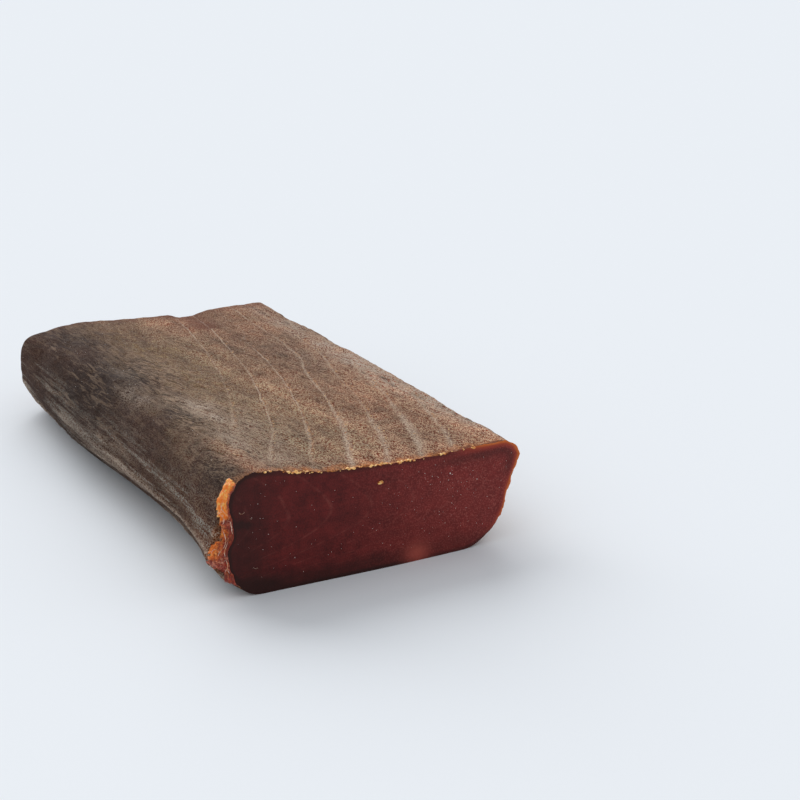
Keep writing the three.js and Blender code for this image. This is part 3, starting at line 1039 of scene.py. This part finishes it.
def land(weight, count, seed):
    """Random places on the skin: quads drawn by area and weight, then a random point inside each."""
    rng = np.random.default_rng(seed)
    a, b, c, d = skin[quads.T]
    area = np.linalg.norm(np.cross(c - a, d - b), axis=1)
    odds = area * weight[quads].mean(axis=1)
    chosen = rng.choice(len(quads), count, p=odds / odds.sum())
    u, v = rng.uniform(0, 1, (2, count, 1))
    a, b, c, d = skin[quads[chosen].T]
    return (a * (1 - u) + b * u) * (1 - v) + (d * (1 - u) + c * u) * v



# %% [markdown]
# ### Salt crystals
#
# Fine salt clings to the skin and the cut. The larger specks on the cut were read off and are
# placed one by one. The rest fall at random, more of them where the bloom is.

# %% Salt crystals
SPECKS_ON_CUT = (  # places across and up, size, in mm
    (62.5, 27.5, 0.5), (69.2, 27.3, 0.6), (69.9, 26.8, 0.45), (76.5, 25.7, 0.6),
    (79.2, 23.4, 0.55), (67.4, 19.1, 0.6), (66.3, 18.6, 0.5), (66.7, 13.6, 0.7),
    (72.7, 12.3, 0.7), (73.1, 11.7, 0.5), (83.5, 12.4, 0.6), (80.4, 7.1, 0.6),
    (61.5, 11.2, 0.5), (64.1, 13.8, 0.5), (8.7, 5.8, 0.5),
)
FINE_SALT_MM = (0.1, 0.22)
rng = np.random.default_rng(40)
placed = np.array([(sx, -0.1, sz) for sx, sz, _ in SPECKS_ON_CUT])
placed_size = np.array([0.8 * size for _, _, size in SPECKS_ON_CUT])
speckled = inside_cut * (0.15 + bell((x - 66) / 16) * bell((z - 20) / 11)) * ease((rim - 1) / 2)
on_flesh = land(speckled, 150, 41)
salted_skin = (facing_up + 0.06 * facing_left) * (0.25 + np.clip(bloom_and_sheen, 0, 1))
salted_skin *= ease((z - 4) / 4)
salted_skin *= 1 - torn
on_skin = land(salted_skin * ~on_cut, 600, 42)
salt_places = np.concatenate([placed, on_flesh, on_skin])
fine_sizes = rng.uniform(*FINE_SALT_MM, len(on_flesh) + len(on_skin))
salt_sizes = np.concatenate([placed_size, fine_sizes])
salt = crumbs("salt_crystals", salt_places, salt_sizes, 0.35, 43)

# %% [markdown]
# ### Fat crumbs
#
# Crumbs of yellow fat lie in clusters along the upper edge of the cut, and small dots of it on the
# pale lines further back. One larger crumb on the cut has a given place.

# %% Fat crumbs
FAT_CLUSTERS = ((14, 2.4, 36), (34, 1.6, 20), (44.5, 1.8, 22), (52.5, 1.6, 20), (67, 1.0, 7), (38, 22, 40))
rng = np.random.default_rng(44)
edge_x = np.concatenate([rng.normal(centre, reach, count) for centre, reach, count in FAT_CLUSTERS])
edge_x = np.clip(edge_x, 4, 78)
edge_y = rng.uniform(-0.15, 0.9, len(edge_x))
edge_z = top_height(edge_x, 0) + rng.uniform(-0.35, 0.2, len(edge_x))
oily = (facing_up > 0.6) * bell((layer - np.round(layer) - 0.05) / 0.05) * ease((y - 4) / 10)
oily = oily * bell((y - 60) / 60) * ~on_cut * ease((x - 20) / 10)
on_lines = land(oily, 130, 45)
fat_places = np.concatenate([np.stack([edge_x, edge_y, edge_z], -1), on_lines, [(43.7, -0.2, 29.1)]])
fat_sizes = np.concatenate(
    [rng.uniform(0.25, 0.95, len(edge_x)), rng.uniform(0.2, 0.4, len(on_lines)), [1.7]]
)
fat = crumbs("fat_crumbs", fat_places, fat_sizes, 0.7, 46, stretch=(1.5, 1.0, 0.8))

# %% [markdown]
# ### Shreds of sinew
#
# Threads of sinew were pulled out where the rim tore, and a few fibres stick to the cut. Each is a
# thin tube along a parabola through three places. On the tear it is laid on the block's own left
# edge, so that it follows the form.

# %% Shreds on the tear
SHRED_RINGS = 9
PLACED_SHREDS = (  # three places on the tear each: back from the cut, and height, in mm
    ((1.9, 22.5), (0.9, 18.8), (0.9, 16.5)), ((0.9, 16.5), (1.1, 15.2), (1.3, 14.0)),
    ((0.4, 13.0), (0.1, 10.7), (1.2, 8.2)), ((0.3, 12.8), (0.1, 10.2), (0.3, 8.0)),
    ((2.3, 15.2), (1.9, 16.5), (1.0, 15.2)), ((2.7, 27.2), (1.4, 25.2), (2.1, 23.2)),
    ((1.8, 13.0), (1.1, 12.0), (0.3, 13.2)), ((0.7, 18.8), (0.4, 16.2), (0.3, 14.2)),
)
FIBRES_ON_CUT = (  # three places each: across the cut, and height
    ((-5.0, 28.4), (-4.2, 27.7), (-3.2, 28.2)), ((-1.3, 25.8), (-0.8, 25.0), (-1.3, 24.0)),
    ((-0.9, 9.3), (0.2, 8.9), (1.3, 9.2)), ((3.6, 8.1), (4.6, 8.3), (5.4, 8.0)),
    ((6.2, 8.0), (7.4, 8.5), (8.8, 8.4)), ((27, 15), (29, 15.4), (31, 15.2)),
)
LOOSE_SHREDS = 9
rng = np.random.default_rng(47)
first = np.stack([rng.uniform(0.2, 2.4, LOOSE_SHREDS), rng.uniform(7, 36, LOOSE_SHREDS)], -1)
last = first + np.stack([rng.uniform(-1.5, 1.5, LOOSE_SHREDS), rng.uniform(-4.5, -1, LOOSE_SHREDS)], -1)
half_way = (first + last) / 2 + rng.uniform(-0.8, 0.8, (LOOSE_SHREDS, 2))
bends = np.concatenate([np.array(PLACED_SHREDS), np.stack([first, half_way, last], 1)])
run = np.linspace(0, 1, SHRED_RINGS)[None, :, None]


def through(bends):
    """The parabola in time through three places of each row, at evenly spaced times from 0 to 1."""
    a, b, c = (bends[:, None, k] for k in range(3))
    return 2 * (run - 0.5) * (run - 1) * a - 4 * run * (run - 1) * b + 2 * run * (run - 0.5) * c


curve = np.clip(through(bends), (0.05, 3.5), (3.6, 37))
v = curve[..., 0] / (LENGTH * CROWD_CUT) * (1 - TAIL_SHARE)
spine = loin_point(np.zeros(v.size), v.ravel(), curve[..., 1].ravel() / 37.0).reshape(*v.shape, 3)
lift = 0.15 + 0.35 * np.sin(math.pi * run[..., 0]) + rng.uniform(0, 0.3, (len(bends), 1))
spine[..., 0] -= lift
spine[..., 1] -= 0.3 * lift
on_cut_x, on_cut_z = np.moveaxis(through(np.array(FIBRES_ON_CUT)), -1, 0)
spine = np.concatenate([spine, np.stack([on_cut_x, 0 * on_cut_x - 0.08, on_cut_z], -1)])
print("shreds between", spine.reshape(-1, 3).min(axis=0).round(1), spine.reshape(-1, 3).max(axis=0).round(1))


def strands(name, spines, thickness, seed):
    """Four-sided tubes along their spines, thick in the middle by a sine, with a quad on each end."""
    rng = np.random.default_rng(seed)
    count, rings, _ = spines.shape
    swell = 0.25 + 0.75 * np.sin(math.pi * np.linspace(0.04, 0.96, rings))
    radius = thickness[:, None] / 2 * swell[None, :]
    turn = rng.uniform(0, math.pi, (count, 1, 1)) + np.arange(4) * math.pi / 2
    ring = np.stack([np.cos(turn), np.sin(turn), 0 * turn], -1) * radius[:, :, None, None]
    points = spines[:, :, None, :] + ring
    numbers = np.arange(count * rings * 4).reshape(count, rings, 4)
    low, high = numbers[:, :-1], numbers[:, 1:]
    walls = np.stack([low, high, np.roll(high, -1, -1), np.roll(low, -1, -1)], -1)
    ends = np.concatenate([numbers[:, 0], numbers[:, -1, ::-1]])
    faces = np.concatenate([walls.reshape(-1, 4), ends.reshape(-1, 4)])
    piece = new_piece(name, points.reshape(-1, 3), faces)
    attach(piece, "root")
    return piece


thickness = rng.uniform(0.12, 0.24, len(spine))
thickness[: len(PLACED_SHREDS)] += 0.06
shreds = strands("sinew_shreds", spine, thickness, 48)
print("shreds have", 2 * len(shreds.data.polygons), "triangles")

# %% [markdown]
# Three small finishes go with them. Salt is halite: colourless, index 1.54, and white when it is
# a heap of tiny faces. The fat is the fish's own oil set in dried tissue, yellow to orange. The
# shreds are sinew, which dries to horn: pale, hard and half clear.

# %% Finishes for the loose bits
# piece, name, index, noise per mm, its detail, low and high, colours, roughness at both ends, bump
LOOSE_FINISHES = (
    (salt, "halite_salt", 1.54, 3.0, 1.0, 0.0, 1.0, "#c4b0a4", "#fff6f0", 0.25, 0.6, 0.05),
    (fat, "dried_fish_fat", 1.46, 1.1, 3.0, 0.38, 0.54, "#d0742a", "#ffce82", 0.3, 0.5, 0.1),
    (shreds, "dried_sinew", 1.5, 0.5, 2.0, 0.4, 0.6, "#c98a62", "#fbe6d2", 0.3, 0.5, 0.1),
)
for piece, name, index, per_mm, detail, low, high, dark, light, sleek, matt, bump_mm in LOOSE_FINISHES:
    finish, put, shader, place = start_finish(name, {"IOR": index})
    cloudy = put("TexNoise", {"Vector": place, "Scale": per_mm, "Detail": detail})
    share = put("MapRange", (cloudy, low, high))
    tint = put("Mix", (share, colour(dark), colour(light)))
    rough = put("MapRange", {"Value": cloudy, "To Min": sleek, "To Max": matt})
    end_finish(put, shader, tint, rough, cloudy, bump_mm)
    piece.data.materials.append(finish)
    piece.data.shade_flat()
print("finishes:", [m.name for m in bpy.data.materials])

# %% [markdown]
# ## Table, light and camera
#
# The block stands on a plain pale table that runs far past the view. A large soft lamp stands low
# behind it, so that the shadow falls forward, the cut is in half shade, and the light rakes over
# the top and picks out its grain. The rest is even light from all round.

# %% Table
TABLE = colour("#e9edf2")
TABLE_REACH = 20.0

corner = TABLE_REACH / 2
table_mesh = bpy.data.meshes.new("table")
table_corners = [(-corner, -corner, 0), (corner, -corner, 0), (corner, corner, 0), (-corner, corner, 0)]
table_mesh.from_pydata(table_corners, [], [(0, 1, 2, 3)])
table = stand("table", table_mesh)
MATT = {"Base Color": TABLE, "Roughness": 0.9, "Specular IOR Level": 0.0}
table_finish = start_finish("matt_white_table", MATT)[0]
table_mesh.materials.append(table_finish)
table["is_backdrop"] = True
print("table reaches", TABLE_REACH, "m")

# %% Light
LAMP_SHARE = 0.38  # of the table's brightness
LAMP_HEIGHT = math.radians(27)
LAMP_WIDTH = math.radians(62)
LAMP_SIDE = (0.06, 0.998)  # level direction towards the lamp, across and along the block
TABLE_LIGHT = 1.03
ROOM = (0.97, 0.985, 1.0, 1.0)

world = bpy.context.scene.world or bpy.data.worlds.new("studio")
bpy.context.scene.world = world
world.use_nodes = True
room = next(n for n in world.node_tree.nodes if n.type == "BACKGROUND")
room.inputs["Color"].default_value = ROOM
room.inputs["Strength"].default_value = TABLE_LIGHT * (1 - LAMP_SHARE)
lamp_data = bpy.data.lights.new("soft_lamp", "SUN")
lamp_data.energy = TABLE_LIGHT * LAMP_SHARE * math.pi / math.sin(LAMP_HEIGHT)
lamp_data.angle = LAMP_WIDTH
lamp = stand("soft_lamp", lamp_data)
towards_lamp = Vector((*LAMP_SIDE, math.tan(LAMP_HEIGHT)))
lamp.rotation_euler = towards_lamp.to_track_quat("Z", "Y").to_euler()
bpy.context.scene.view_settings.view_transform = "Standard"
print("lamp energy", round(lamp_data.energy, 3), "room", round(room.inputs["Strength"].default_value, 3))

# %% Camera
CAMERA_PLACE = (-233.3, -510.5, 256.3)  # mm, in the loin's own frame
CAMERA_VIEW = (0.45986, 0.82616, -0.32557)
LENS_MM = 89.26
SENSOR_MM = 36.0
FARTHEST = 100.0  # metres

camera_data = bpy.data.cameras.new("camera")
camera_data.lens = LENS_MM
camera_data.sensor_width = SENSOR_MM
camera_data.clip_end = FARTHEST
camera = stand("camera", camera_data)
camera.location = Vector((np.array(CAMERA_PLACE) - MIDDLE) * MM)
camera.rotation_euler = Vector(CAMERA_VIEW).to_track_quat("-Z", "Y").to_euler()
bpy.context.scene.camera = camera
print("camera at", [round(v, 4) for v in camera.location])

bpy.context.view_layer.update()
sizes = {"cad": CAD_BOX, "visual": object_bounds()}
sizes = {name: [[float(v) for v in corner] for corner in box] for name, box in sizes.items()}
print("sizes:", sizes)
